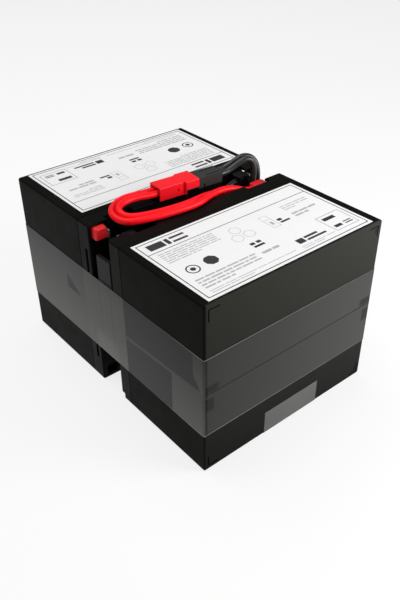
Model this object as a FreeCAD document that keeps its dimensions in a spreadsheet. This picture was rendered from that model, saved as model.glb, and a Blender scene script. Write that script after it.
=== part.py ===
import FreeCAD, Part
import math
import os
import Sketcher

# Replacement battery cartridge of a rack power unit: four sealed batteries in two stacks of two,
# lids towards the gap between the stacks, held by a film band and a strap under the base.
# Frame: X along the long side of the batteries, Y across both stacks, Z up, origin under the
# middle of the cartridge. The front stack is the one at -Y, the near end the one at -X.

Vector = FreeCAD.Vector
Rotation = FreeCAD.Rotation

SIZES = [
    ("case_length", 151.0, "long side of one battery"),
    ("case_thick", 65.0, "short side of one battery, upright when the battery lies on its side"),
    ("jar_depth", 81.0, "bottom of the jar to the seam"),
    ("lid_depth", 13.0, "seam to the top of the lid"),
    ("gap_width", 22.0, "between the lids of the two stacks"),
    ("jar_wall", 2.4, "outer walls and floor of the jar"),
    ("cell_wall", 1.6, "partitions between the cells"),
    ("cell_count", 6.0, "cells of a 12 volt battery"),
    ("corner_round", 1.5, "upright corners of jar and lid"),
    ("edge_round", 1.0, "edges of the bottom and of the lid top"),
    ("seam_chamfer", 0.4, "each side of the welded seam"),
    ("groove_inset", 3.0, "corner grooves from the edges of the bottom"),
    ("groove_leg", 8.5, "legs of the corner grooves"),
    ("groove_wide", 1.0, "width of the corner grooves"),
    ("groove_deep", 0.8, "depth of the corner grooves"),
    ("pocket_end", 2.0, "end of the case to the terminal pocket"),
    ("pocket_long", 13.0, "terminal pocket along the case"),
    ("pocket_tall", 12.0, "terminal pocket across the case"),
    ("pocket_side", 2.0, "side of the case to the terminal pocket"),
    ("pocket_deep", 6.5, "terminal pocket below the lid top"),
    ("notch_long", 21.0, "lead notch along the case"),
    ("notch_tall", 17.0, "lead notch from the side of the case"),
    ("notch_deep", 5.0, "lead notch below the lid top"),
    ("lid_hollow", 3.0, "recess under the lid"),
    ("vent_end", 6.5, "ends of the case to the vent recess"),
    ("vent_tall", 24.0, "vent recess across the case"),
    ("vent_shift", 9.0, "vent recess off the middle, away from the terminals"),
    ("vent_deep", 2.0, "vent recess below the lid top"),
    ("well_wide", 10.0, "wells round the vent stubs"),
    ("well_deep", 4.5, "wells below the vent recess"),
    ("stub_wide", 5.5, "vent stubs"),
    ("valve_wide", 9.0, "rubber valve caps on the stubs"),
    ("valve_top", 0.7, "roof of a valve cap above its stub"),
    ("cover_thick", 1.0, "vent cover plate"),
    ("end_bevel", 2.4, "bevel of the lid top at the negative end"),
    ("step_in", 3.4, "corner step of the lid at the negative end, along the case"),
    ("step_tall", 5.3, "that step from the side of the case"),
    ("step_deep", 5.5, "that step below the lid top"),
    ("spare_end", 3.9, "spare pocket from the positive end"),
    ("spare_side", 3.0, "spare pocket from the side of the case"),
    ("spare_long", 8.7, "spare pocket along the case"),
    ("spare_tall", 8.0, "spare pocket across the case"),
    ("spare_deep", 5.0, "spare pocket below the lid top"),
    ("grip_long", 27.0, "slot in the positive end of the lid"),
    ("grip_tall", 2.8, "height of that slot"),
    ("grip_deep", 3.0, "depth of that slot"),
    ("grip_up", 6.7, "that slot above the seam"),
    ("blade_inset", 12.4, "middle of a terminal blade from the end of the case"),
    ("blade_wide", 6.35, "terminal blade"),
    ("blade_thick", 0.8, "thickness of a terminal blade"),
    ("blade_rise", 6.0, "terminal blade above the lid top"),
    ("blade_hole", 2.0, "hole in a terminal blade"),
    ("foot_high", 2.0, "lead foot of a terminal"),
    ("foot_long", 4.0, "lead foot along the case"),
    ("foot_tall", 8.0, "lead foot across the case"),
    ("sleeve_thick", 2.7, "push-on receptacle over the blade thickness"),
    ("sleeve_wide", 7.6, "push-on receptacle over the blade width"),
    ("sleeve_long", 8.0, "push-on receptacle along the blade"),
    ("boot_long", 10.0, "insulating boot of a single lead"),
    ("pair_boot_long", 11.4, "insulating boot of a pair of leads"),
    ("boot_tall", 10.0, "boots across the case"),
    ("pair_boot_tall", 11.0, "boots of a pair of leads across the case"),
    ("boot_deep", 10.3, "boots along the blade"),
    ("lead_seat", 5.6, "leads inside their boots"),
    ("boot_wall", 0.7, "wall of the pair boot over leads that enter it from above"),
    ("cap_long", 9.2, "terminal cap of the upper output terminal"),
    ("low_cap_long", 8.6, "terminal cap of the lower one, beside the end plate"),
    ("cap_tall", 9.0, "terminal caps across the case"),
    ("cap_deep", 8.8, "terminal caps along the blade"),
    ("cap_under", 1.5, "terminal caps below the tip of the blade"),
    ("cap_up", 1.5, "middle of a cap from the middle of its blade, towards the side of the case"),
    ("boot_round", 1.6, "edges of boots and caps"),
    ("fit", 0.3, "clearance of parts that are set in or laid on others"),
    ("slide", 0.1, "clearance of parts that are pushed onto others"),
    ("pack_tall", 62.0, "plates of one cell, upright"),
    ("bar_high", 5.0, "bars that join the plates of one cell"),
    ("bar_wide", 6.0, "width of these bars"),
    ("label_long", 138.4, "label on top of a stack"),
    ("label_wide", 73.8, "width of that label"),
    ("label_thick", 0.2, "thickness of that label"),
    ("label_end", 5.5, "label from the outer end of its stack"),
    ("label_side", 2.4, "label from the outer side of its stack"),
    ("film", 0.25, "film band and base strap"),
    ("band_low", 31.5, "lower edge of the film band above the stack bottoms"),
    ("band_wide", 61.0, "width of the film band"),
    ("strap_at", 52.7, "base strap from the near end"),
    ("strap_wide", 50.6, "width of the base strap"),
    ("strap_up", 19.0, "base strap up the outer faces"),
    ("plate_thick", 2.5, "insulating end plates in the gap"),
    ("plate_wide", 15.2, "width of these plates"),
    ("plate_low", 43.5, "lower end of these plates above the stack bottoms"),
    ("plate_high", 111.5, "upper end of these plates above the stack bottoms"),
    ("plate_in", 0.5, "these plates inside the end faces"),
    ("lead_wide", 4.6, "insulated leads"),
    ("lead_step", 4.7, "middle to middle of two leads side by side"),
    ("link_x", -19.0, "cable end of the red housing from the middle of the cartridge"),
    ("link_y", 14.0, "middle of the red housing, over the lid edge of the rear stack"),
    ("link_turn", -5.0, "turn of the mated pair seen from above"),
    ("red_long", 31.0, "red housing"),
    ("red_wide", 13.0, "cable end of the red housing"),
    ("shroud_wide", 16.0, "mating end of the red housing"),
    ("shroud_at", 19.0, "cable end to the shroud"),
    ("red_high", 9.4, "height of the red housing"),
    ("hood_deep", 6.0, "open hood over the leads"),
    ("hood_wall", 1.2, "walls of the hood and of the shroud"),
    ("mouth_deep", 11.0, "socket in the shroud"),
    ("mouth_wide", 12.8, "width of that socket"),
    ("tongue_at", 20.8, "cable end to the tongue of the shroud"),
    ("tongue_low", 3.4, "lower edge of the tongue"),
    ("grey_long", 20.7, "grip part of the grey housing"),
    ("grey_wide", 13.0, "width of the grey housing"),
    ("grey_low", 0.6, "underside of the grey housing above that of the red one"),
    ("grey_high", 7.6, "height of the grey housing"),
    ("neck_long", 6.7, "front collar of the grey housing"),
    ("neck_step", 0.4, "step behind the collar"),
    ("rib_long", 13.0, "grooves of the finger grip"),
    ("rib_apart", 7.4, "between these grooves"),
    ("rib_wide", 1.1, "width of these grooves"),
    ("rib_deep", 0.8, "depth of these grooves"),
    ("bore_wide", 4.9, "lead bores of both housings"),
    ("bore_up", 4.7, "middle of these bores above the red underside"),
    ("bore_step", 5.5, "middle to middle of the two bores of a housing"),
    ("contact_wide", 4.4, "crimp barrels and sockets of the contacts"),
    ("pin_wide", 2.0, "pins of the contacts"),
    ("pin_long", 9.0, "pins of the contacts in front of their barrels"),
    ("socket_deep", 12.0, "bores of the sockets for the pins"),
    ("lead_out", 3.0, "straight part of a lead in front of its boot"),
    ("red_lead_in", 8.9, "leads inside the cable end of the red housing"),
    ("grey_lead_in", 5.9, "leads inside the cable end of the grey housing"),
    ("red_lead_out", 6.0, "straight part of the leads behind the red housing"),
    ("grey_lead_out", 5.0, "straight part of the leads behind the grey housing"),
]

doc = FreeCAD.newDocument("battery_cartridge")
sheet = doc.addObject("Spreadsheet::Sheet", "Sizes")
for row, (alias, value, note) in enumerate(SIZES, start=1):
    sheet.set("A%d" % row, alias)
    sheet.set("B%d" % row, str(value))
    sheet.set("C%d" % row, note)
    sheet.setAlias("B%d" % row, alias)
doc.recompute()

SUBPARTS = []


def linked(text):
    """Write the plain size names of a formula as cells of the sheet."""
    words = []
    word = ""
    for letter in text + " ":
        if letter.isalnum() or letter == "_":
            word += letter
            continue
        if word and not word[0].isdigit():
            word = "Sizes." + word
        words.append(word + letter)
        word = ""
    return "".join(words).strip()


def size(text):
    """The present value of a formula of sizes, in millimetres or degrees."""
    return float(sheet.evalExpression(linked(text)))


def bind(item, prop, text):
    item.setExpression(prop, linked(text))


def subpart(item, name):
    item.Label = name
    SUBPARTS.append(item)
    return item


# Sketches, pads and pockets

def new_body(name):
    return subpart(doc.addObject("PartDesign::Body", name), name)


def origin_plane(body, role):
    for feature in body.Origin.OriginFeatures:
        if feature.Role == role:
            return feature
    raise ValueError(role)


def new_sketch(body, name, role, height):
    """A sketch on one of the body's own planes, lifted along the plane's normal."""
    sketch = body.newObject("Sketcher::SketchObject", name)
    sketch.AttachmentSupport = [(origin_plane(body, role), "")]
    sketch.MapMode = "FlatFace"
    bind(sketch, "AttachmentOffset.Base.z", height)
    return sketch


def pin_point(sketch, line, across, along):
    """Hold the start of a line at a formula of sizes, measured from the sketch's origin."""
    for kind, text in (("DistanceX", across), ("DistanceY", along)):
        index = sketch.addConstraint(Sketcher.Constraint(kind, -1, 1, line, 1, size(text)))
        bind(sketch, "Constraints[%d]" % index, text)


def outline(sketch, corners):
    """A closed polygon whose corners are formulas of sizes."""
    points = [Vector(size(across), size(along), 0) for across, along in corners]
    first = len(sketch.Geometry)
    count = len(points)
    for i in range(count):
        sketch.addGeometry(Part.LineSegment(points[i], points[(i + 1) % count]), False)
    for i in range(count):
        follower = first + (i + 1) % count
        sketch.addConstraint(Sketcher.Constraint("Coincident", first + i, 2, follower, 1))
    for i, (across, along) in enumerate(corners):
        pin_point(sketch, first + i, across, along)


def rectangle(sketch, left, right, low, high):
    outline(sketch, [(left, low), (right, low), (right, high), (left, high)])


def circle(sketch, across, along, diameter):
    centre = Vector(size(across), size(along), 0)
    index = sketch.addGeometry(Part.Circle(centre, Vector(0, 0, 1), size(diameter) / 2), False)
    for kind, text in (("DistanceX", across), ("DistanceY", along)):
        held = sketch.addConstraint(Sketcher.Constraint(kind, -1, 1, index, 3, size(text)))
        bind(sketch, "Constraints[%d]" % held, text)
    held = sketch.addConstraint(Sketcher.Constraint("Diameter", index, size(diameter)))
    bind(sketch, "Constraints[%d]" % held, diameter)


def pad(body, name, sketch, length, flip=False):
    feature = body.newObject("PartDesign::Pad", name)
    feature.Profile = sketch
    bind(feature, "Length", length)
    feature.Reversed = flip
    sketch.Visibility = False
    doc.recompute()
    return feature


def pocket(body, name, sketch, length, flip=False):
    """Cut a sketch into the body and make sure that material is gone."""
    before = body.Shape.Volume
    feature = body.newObject("PartDesign::Pocket", name)
    feature.Profile = sketch
    bind(feature, "Length", length)
    feature.Reversed = flip
    doc.recompute()
    if body.Shape.Volume > before - 1e-6:
        raise RuntimeError("%s of %s cuts nothing" % (name, body.Label))
    return feature


def mirror_across(body, name, feature, role):
    copy = body.newObject("PartDesign::Mirrored", name)
    copy.Originals = [feature]
    copy.MirrorPlane = (origin_plane(body, role), [""])
    body.Tip = copy
    doc.recompute()
    return copy


def repeat_along(body, name, feature, role, length, count):
    copy = body.newObject("PartDesign::LinearPattern", name)
    copy.Originals = [feature]
    copy.Direction = (origin_plane(body, role), [""])
    bind(copy, "Length", length)
    bind(copy, "Occurrences", count)
    body.Tip = copy
    doc.recompute()
    return copy


def edge_names(shape, test):
    return ["Edge%d" % (i + 1) for i, edge in enumerate(shape.Edges) if test(edge)]


def runs_along(axis):
    """A test for straight edges along an axis."""
    def test(edge):
        if not isinstance(edge.Curve, Part.Line):
            return False
        step = edge.Vertexes[-1].Point - edge.Vertexes[0].Point
        return abs(abs(step.dot(axis)) - step.Length) < 1e-6
    return test


def lies_at(axis, height):
    """A test for edges that lie in a plane across an axis."""
    def test(edge):
        return all(abs(end.Point.dot(axis) - height) < 1e-6 for end in edge.Vertexes)
    return test


def soften(body, kind, name, test, amount):
    """Round or bevel the edges of the body that pass a test."""
    base = body.Tip
    feature = body.newObject("PartDesign::" + kind, name)
    feature.Base = (base, edge_names(base.Shape, test))
    bind(feature, "Radius" if kind == "Fillet" else "Size", amount)
    doc.recompute()
    return feature


# Primitives

def block(name, x, y, z, long, wide, high):
    """A box from formulas of its corner and its sides."""
    item = doc.addObject("Part::Box", name)
    for prop, text in (("Length", long), ("Width", wide), ("Height", high)):
        bind(item, prop, text)
    for prop, text in (("x", x), ("y", y), ("z", z)):
        bind(item, "Placement.Base." + prop, text)
    return item


def rod(name, x, y, z, diameter, high, turn=None):
    """A cylinder from formulas of its foot, its diameter and its length."""
    item = doc.addObject("Part::Cylinder", name)
    bind(item, "Radius", "(%s) / 2" % diameter)
    bind(item, "Height", high)
    if turn:
        item.Placement = FreeCAD.Placement(Vector(), turn)
    for prop, text in (("x", x), ("y", y), ("z", z)):
        bind(item, "Placement.Base." + prop, text)
    return item


def combine(kind, name, base, tool):
    item = doc.addObject("Part::" + kind, name)
    item.Base = base
    item.Tool = tool
    return item


def group(name, items):
    item = doc.addObject("Part::Compound", name)
    item.Links = items
    return item


def rounded(name, base, test, radius, kind="Fillet"):
    """Round or bevel the edges of a primitive that pass a test."""
    doc.recompute()
    item = doc.addObject("Part::" + kind, name)
    item.Base = base
    amount = size(radius)
    item.Edges = [(i + 1, amount, amount) for i, edge in enumerate(base.Shape.Edges) if test(edge)]
    return item


# Places of the batteries
# A battery is modelled upright: x along its case, y towards its terminal side, z from the bottom
# of the jar to the lid, origin under the middle. It lies on its side in the stack, lid to the gap.

LYING = {"front": Rotation(Vector(0, 1, 1), 180), "rear": Rotation(Vector(1, 0, 0), 90)}
FACING = {"front": 1, "rear": -1}
LEVEL = {"lower": 0, "upper": 1}
HEIGHT = "jar_depth + lid_depth"


def lay(item, side, level, up="0"):
    """Lay a piece of a battery in its stack; up is its height in the upright battery."""
    item.Placement = FreeCAD.Placement(Vector(), LYING[side])
    reach = "gap_width / 2 + %s - (%s)" % (HEIGHT, up)
    bind(item, "Placement.Base.y", "(%s) * %d" % (reach, -FACING[side]))
    bind(item, "Placement.Base.z", "film + case_thick * (0.5 + %d)" % LEVEL[level])
    return item


# Jar

def make_jar(name):
    body = new_body(name)
    base = new_sketch(body, name + "_outline", "XY_Plane", "0")
    half = "case_length / 2", "case_thick / 2"
    rectangle(base, "-" + half[0], half[0], "-" + half[1], half[1])
    pad(body, name + "_block", base, "jar_depth")
    soften(body, "Fillet", name + "_corners", runs_along(Vector(0, 0, 1)), "corner_round")
    soften(body, "Fillet", name + "_foot", lies_at(Vector(0, 0, 1), 0.0), "edge_round")
    rim = lies_at(Vector(0, 0, 1), size("jar_depth"))
    soften(body, "Chamfer", name + "_rim", rim, "seam_chamfer")
    cell = "(case_length - 2 * jar_wall - (cell_count - 1) * cell_wall) / cell_count"
    room = new_sketch(body, name + "_cell_outline", "XY_Plane", "jar_depth")
    left = "jar_wall - case_length / 2"
    inside = "case_thick / 2 - jar_wall"
    rectangle(room, left, "%s + %s" % (left, cell), "-(%s)" % inside, inside)
    first = pocket(body, name + "_cell", room, "jar_depth - jar_wall")
    spread = "(%s + cell_wall) * (cell_count - 1)" % cell
    repeat_along(body, name + "_cells", first, "X_Axis", spread, "cell_count")
    for sign, tag in (("", "up"), ("-", "down")):
        groove = corner_groove(body, "%s_groove_%s" % (name, tag), sign)
        mirror_across(body, "%s_groove_%s_pair" % (name, tag), groove, "YZ_Plane")
        tick = new_sketch(body, "%s_tick_%s_outline" % (name, tag), "XY_Plane", "0")
        start = "groove_inset + 2 * groove_wide - case_length / 2"
        far = "%s(case_thick / 2 - groove_inset - 2 * groove_wide)" % sign
        close = "%s(case_thick / 2 - groove_inset - groove_leg / 2 - groove_wide)" % sign
        rectangle(tick, start, start + " + groove_wide", far, close)
        pocket(body, "%s_tick_%s" % (name, tag), tick, "groove_deep", flip=True)
    return body


def corner_groove(body, name, sign):
    """An L-shaped groove beside one corner of the bottom."""
    sketch = new_sketch(body, name + "_outline", "XY_Plane", "0")
    out_x = "case_length / 2 - groove_inset"
    out_y = "case_thick / 2 - groove_inset"
    steps = [("0", "0"), ("0", "groove_leg"), ("groove_wide", "groove_leg"),
             ("groove_wide", "groove_wide"), ("groove_leg", "groove_wide"), ("groove_leg", "0")]
    corners = []
    for along, across in steps:
        corners.append(("%s - %s" % (out_x, along), "%s(%s - %s)" % (sign, out_y, across)))
    outline(sketch, corners)
    return pocket(body, name, sketch, "groove_deep", flip=True)


# Lid

def make_lid(name):
    """The welded lid, its own origin in the seam."""
    body = new_body(name)
    base = new_sketch(body, name + "_outline", "XY_Plane", "0")
    half = "case_length / 2", "case_thick / 2"
    rectangle(base, "-" + half[0], half[0], "-" + half[1], half[1])
    pad(body, name + "_block", base, "lid_depth")
    soften(body, "Fillet", name + "_corners", runs_along(Vector(0, 0, 1)), "corner_round")
    top = lies_at(Vector(0, 0, 1), size("lid_depth"))
    soften(body, "Fillet", name + "_edges", top, "edge_round")
    soften(body, "Chamfer", name + "_rim", lies_at(Vector(0, 0, 1), 0.0), "seam_chamfer")
    hollow = new_sketch(body, name + "_hollow_outline", "XY_Plane", "0")
    rectangle(hollow, "jar_wall - " + half[0], half[0] + " - jar_wall",
              "jar_wall - " + half[1], half[1] + " - jar_wall")
    pocket(body, name + "_hollow", hollow, "lid_hollow", flip=True)
    out_x = "case_length / 2 - pocket_end"
    out_y = "case_thick / 2 - pocket_side"
    well = new_sketch(body, name + "_pocket_outline", "XY_Plane", "lid_depth")
    rectangle(well, out_x + " - pocket_long", out_x, out_y + " - pocket_tall", out_y)
    seat = pocket(body, name + "_pocket", well, "pocket_deep")
    mirror_across(body, name + "_pockets", seat, "YZ_Plane")
    way = new_sketch(body, name + "_notch_outline", "XY_Plane", "lid_depth")
    inner = out_x + " - pocket_long"
    rectangle(way, inner + " - notch_long", inner, half[1] + " - notch_tall", half[1] + " + 1")
    notch = pocket(body, name + "_notch", way, "notch_deep")
    mirror_across(body, name + "_notches", notch, "YZ_Plane")
    vent_recess(body, name)
    spare = new_sketch(body, name + "_spare_outline", "XY_Plane", "lid_depth")
    rectangle(spare, "spare_end - " + half[0], "spare_end + spare_long - " + half[0],
              "spare_side - " + half[1], "spare_side + spare_tall - " + half[1])
    pocket(body, name + "_spare", spare, "spare_deep")
    step = new_sketch(body, name + "_step_outline", "XY_Plane", "lid_depth")
    rectangle(step, half[0] + " - step_in", half[0] + " + 1",
              "-" + half[1] + " - 1", "step_tall - " + half[1])
    pocket(body, name + "_step", step, "step_deep")
    bevel = new_sketch(body, name + "_bevel_outline", "XZ_Plane", "-" + half[1] + " - 1")
    outline(bevel, [(half[0] + " - end_bevel - 1", "lid_depth + 1"),
                    (half[0] + " + 1", "lid_depth - end_bevel - 1"),
                    (half[0] + " + 1", "lid_depth + 1")])
    pocket(body, name + "_bevel", bevel, "case_thick + 2", flip=True)
    grip = new_sketch(body, name + "_grip_outline", "YZ_Plane", "-case_length / 2")
    rectangle(grip, "-grip_long / 2", "grip_long / 2", "grip_up", "grip_up + grip_tall")
    pocket(body, name + "_grip", grip, "grip_deep", flip=True)
    return body


def cell_pitch():
    return "((case_length - 2 * jar_wall + cell_wall) / cell_count)"


def first_cell():
    return "(-(cell_count - 1) / 2 * %s)" % cell_pitch()


def vent_recess(body, name):
    """The long recess with a well and a stub over each cell."""
    recess = new_sketch(body, name + "_vent_outline", "XY_Plane", "lid_depth")
    half = "case_length / 2"
    rectangle(recess, "vent_end - " + half, half + " - vent_end",
              "-vent_shift - vent_tall / 2", "-vent_shift + vent_tall / 2")
    pocket(body, name + "_vent", recess, "vent_deep")
    ring = new_sketch(body, name + "_well_outline", "XY_Plane", "lid_depth - vent_deep")
    circle(ring, first_cell(), "-vent_shift", "well_wide")
    circle(ring, first_cell(), "-vent_shift", "stub_wide")
    well = pocket(body, name + "_well", ring, "well_deep")
    spread = "%s * (cell_count - 1)" % cell_pitch()
    repeat_along(body, name + "_wells", well, "X_Axis", spread, "cell_count")


# Pieces inside and on the batteries, in the upright frame of the battery

def make_valves(name):
    """One rubber cap on each vent stub."""
    floor = "jar_depth + lid_depth - vent_deep - well_deep + fit"
    high = "well_deep - fit + valve_top"
    caps = []
    for cell in range(int(size("cell_count"))):
        middle = "%s + %d * %s" % (first_cell(), cell, cell_pitch())
        tag = "%s_%d" % (name, cell + 1)
        outer = rod(tag + "_outer", middle, "-vent_shift", floor, "valve_wide", high)
        inner = rod(tag + "_inner", middle, "-vent_shift", floor,
                    "stub_wide + 2 * slide", "well_deep - fit + slide")
        caps.append(combine("Cut", tag, outer, inner))
    return subpart(group(name, caps), name)


def make_cover(name):
    """The plate that closes the vent recess, flush with the lid."""
    plate = block(name + "_plate", "vent_end + slide - case_length / 2",
                  "-vent_shift - vent_tall / 2 + slide", HEIGHT + " - cover_thick",
                  "case_length - 2 * vent_end - 2 * slide", "vent_tall - 2 * slide",
                  "cover_thick")
    return subpart(group(name, [plate]), name)


def make_packs(name):
    """The plates of each cell with the two bars that join them."""
    cell = "(case_length - 2 * jar_wall - (cell_count - 1) * cell_wall) / cell_count"
    packs = []
    for number in range(int(size("cell_count"))):
        tag = "%s_%d" % (name, number + 1)
        left = "%s + %d * %s - (%s) / 2 + fit" % (first_cell(), number, cell_pitch(), cell)
        low = "-(case_thick / 2 - jar_wall - fit)"
        floor = "jar_wall + fit"
        plates = block(tag + "_plates", left, low, floor,
                       cell + " - 2 * fit", "case_thick - 2 * jar_wall - 2 * fit", "pack_tall")
        bars = []
        for end, start in (("near", low + " + bar_wide"), ("far", "-(%s) - 2 * bar_wide" % low)):
            bars.append(block("%s_bar_%s" % (tag, end), left + " + fit", start,
                              floor + " + pack_tall", cell + " - 4 * fit", "bar_wide", "bar_high"))
        pair = combine("Fuse", tag + "_bars", bars[0], bars[1])
        packs.append(combine("Fuse", tag, plates, pair))
    return subpart(group(name, packs), name)


BLADE_UP = "(case_thick / 2 - pocket_side - pocket_tall / 2)"
POCKET_FLOOR = "(jar_depth + lid_depth - pocket_deep)"


def make_terminal(name, sign):
    """A lead foot in its pocket with a blade that stands above the lid."""
    middle = "%s(case_length / 2 - blade_inset)" % sign
    foot = block(name + "_foot", middle + " - foot_long / 2", BLADE_UP + " - foot_tall / 2",
                 POCKET_FLOOR, "foot_long", "foot_tall", "foot_high")
    rise = "pocket_deep - foot_high + blade_rise"
    blade = block(name + "_blade", middle + " - blade_thick / 2", BLADE_UP + " - blade_wide / 2",
                  POCKET_FLOOR + " + foot_high", "blade_thick", "blade_wide", rise)
    hole = rod(name + "_hole", middle + " - blade_thick", BLADE_UP, HEIGHT + " + blade_rise / 2",
               "blade_hole", "2 * blade_thick", Rotation(Vector(0, 1, 0), 90))
    drilled = combine("Cut", name + "_drilled", blade, hole)
    return subpart(combine("Fuse", name, foot, drilled), name)


TIP = HEIGHT + " + blade_rise"


def make_sleeve(name, sign):
    """The push-on receptacle round a blade."""
    middle = "%s(case_length / 2 - blade_inset)" % sign
    outer = block(name + "_outer", middle + " - sleeve_thick / 2", BLADE_UP + " - sleeve_wide / 2",
                  "%s - sleeve_long" % TIP, "sleeve_thick", "sleeve_wide", "sleeve_long + slide")
    inner = block(name + "_inner", middle + " - blade_thick / 2 - slide / 2",
                  BLADE_UP + " - blade_wide / 2 - slide", "%s - sleeve_long" % TIP,
                  "blade_thick + slide", "blade_wide + 2 * slide", "sleeve_long + 2 * slide")
    shell = rounded(name + "_shell", outer, runs_along(Vector(0, 0, 1)), "blade_thick * 0.7",
                    "Chamfer")
    return subpart(combine("Cut", name, shell, inner), name)


LEAD_UP = TIP + " - boot_deep / 2"
SIDE_LEAD_UP = TIP + " - boot_wall - lead_wide / 2"
BOOT_FROM = "blade_inset + sleeve_thick / 2"
CAP_FROM = "blade_inset - blade_thick / 2 - cap_long"
LOW_CAP_FROM = "blade_inset - blade_thick / 2 - low_cap_long"


def soft_block(name, sign, inner, long, middle, tall, top, deep):
    """A rounded rubber block beside a blade, its inner face at a distance from the end."""
    edge = "case_length / 2 - (%s)" % inner
    start = "%s - (%s)" % (edge, long) if sign == "" else "-(%s)" % edge
    box = block(name + "_box", start, "%s - %s / 2" % (middle, tall),
                "%s - %s" % (top, deep), long, tall, deep)
    upright = runs_along(Vector(0, 0, 1))
    at_top = lies_at(Vector(0, 0, 1), size(top))
    return rounded(name + "_body", box, lambda edge: upright(edge) or at_top(edge), "boot_round")


def make_boot(name, sign):
    """The boot of a single lead, bored for it along the case."""
    body = soft_block(name, sign, BOOT_FROM, "boot_long", BLADE_UP, "boot_tall", TIP, "boot_deep")
    edge = "case_length / 2 - (%s)" % BOOT_FROM
    start = "%s - boot_long" % edge if sign == "" else "-(%s) + boot_long - lead_seat" % edge
    bore = rod(name + "_bore", start, BLADE_UP, LEAD_UP,
               "lead_wide + 2 * slide", "lead_seat", Rotation(Vector(0, 1, 0), 90))
    return subpart(combine("Cut", name, body, bore), name)


def make_pair_boot(name, sign, sideways):
    """The boot of two leads, entered along the case or from the side above."""
    body = soft_block(name, sign, BOOT_FROM, "pair_boot_long", BLADE_UP, "pair_boot_tall",
                      TIP, "boot_deep")
    edge = "case_length / 2 - (%s)" % BOOT_FROM
    both = "lead_step + lead_wide + 2 * slide"
    one = "lead_wide + 2 * slide"
    if sideways:
        middle = "%s - pair_boot_long / 2" % edge
        slot = block(name + "_slot", "%s - (%s) / 2" % (middle, both),
                     BLADE_UP + " + pair_boot_tall / 2 - lead_seat",
                     SIDE_LEAD_UP + " - lead_wide / 2 - slide", both, "lead_seat", one)
    else:
        slot = block(name + "_slot", "-(%s) + pair_boot_long - lead_seat" % edge,
                     "%s - (%s) / 2" % (BLADE_UP, both), LEAD_UP + " - lead_wide / 2 - slide",
                     "lead_seat", both, one)
    return subpart(combine("Cut", name, body, slot), name)


def make_cap(name, sign, inner, long):
    """The cap beside the blade of an output terminal."""
    return subpart(soft_block(name, sign, inner, long, BLADE_UP + " + cap_up", "cap_tall",
                              TIP + " - cap_under", "cap_deep"), name)


# Build the four batteries

for side in ("front", "rear"):
    for level in ("lower", "upper"):
        stem = "%s_%s_" % (side, level)
        lay(make_jar(stem + "jar"), side, level)
        lay(make_lid(stem + "lid"), side, level, "jar_depth")
        lay(make_packs(stem + "cell_packs"), side, level)
        lay(make_valves(stem + "valve_caps"), side, level)
        lay(make_cover(stem + "vent_cover"), side, level)
        lay(make_terminal(stem + "positive_terminal", "-"), side, level)
        lay(make_terminal(stem + "negative_terminal", ""), side, level)

# Receptacles and boots of the leads, and the caps of the two free output terminals

for side, level, sign, pole in (("front", "upper", "", "negative"),
                                ("front", "lower", "-", "positive"),
                                ("rear", "upper", "", "negative"),
                                ("rear", "lower", "-", "positive")):
    stem = "%s_%s_%s_" % (side, level, pole)
    lay(make_sleeve(stem + "receptacle", sign), side, level)
    lay(make_boot(stem + "boot", sign), side, level)
lay(make_sleeve("front_upper_positive_receptacle", "-"), "front", "upper")
lay(make_pair_boot("front_upper_positive_boot", "-", False), "front", "upper")
lay(make_sleeve("rear_lower_negative_receptacle", ""), "rear", "lower")
lay(make_pair_boot("rear_lower_negative_boot", "", True), "rear", "lower")
lay(make_cap("rear_upper_positive_cap", "-", CAP_FROM, "cap_long"), "rear", "upper")
lay(make_cap("front_lower_negative_cap", "", LOW_CAP_FROM, "low_cap_long"), "front", "lower")


# Labels, film and end plates

STACK_TOP = "(film + 2 * case_thick)"
OUTER = "(gap_width / 2 + jar_depth + lid_depth)"


def make_label(name, sign):
    long = "case_length / 2 - label_end"
    start = "-(%s)" % long if sign == "-" else long + " - label_long"
    out = OUTER + " - label_side"
    low = "-(%s)" % out if sign == "-" else out + " - label_wide"
    return subpart(block(name, start, low, STACK_TOP, "label_long", "label_wide", "label_thick"),
                   name)


def make_band(name):
    """The film band wound round both stacks, straight across the gap."""
    body = new_body(name)
    ring = new_sketch(body, name + "_outline", "XY_Plane", "film + band_low")
    half_x = "(case_length / 2 + film)"
    half_y = "(%s + film)" % OUTER
    rectangle(ring, "-" + half_x, half_x, "-" + half_y, half_y)
    pad(body, name + "_block", ring, "band_wide")
    inside = new_sketch(body, name + "_inside", "XY_Plane", "film + band_low + band_wide")
    rectangle(inside, "-case_length / 2", "case_length / 2", "-" + OUTER, OUTER)
    pocket(body, name + "_opening", inside, "band_wide")
    upright = runs_along(Vector(0, 0, 1))
    inner = size("case_length / 2")
    outer = size(half_x)
    soften(body, "Fillet", name + "_inner_corners",
           lambda edge: upright(edge) and abs(edge.Vertexes[0].X) < inner + 1e-6, "edge_round")
    soften(body, "Fillet", name + "_corners",
           lambda edge: upright(edge) and abs(edge.Vertexes[0].X) > outer - 1e-6,
           "edge_round + film")
    return body


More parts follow.
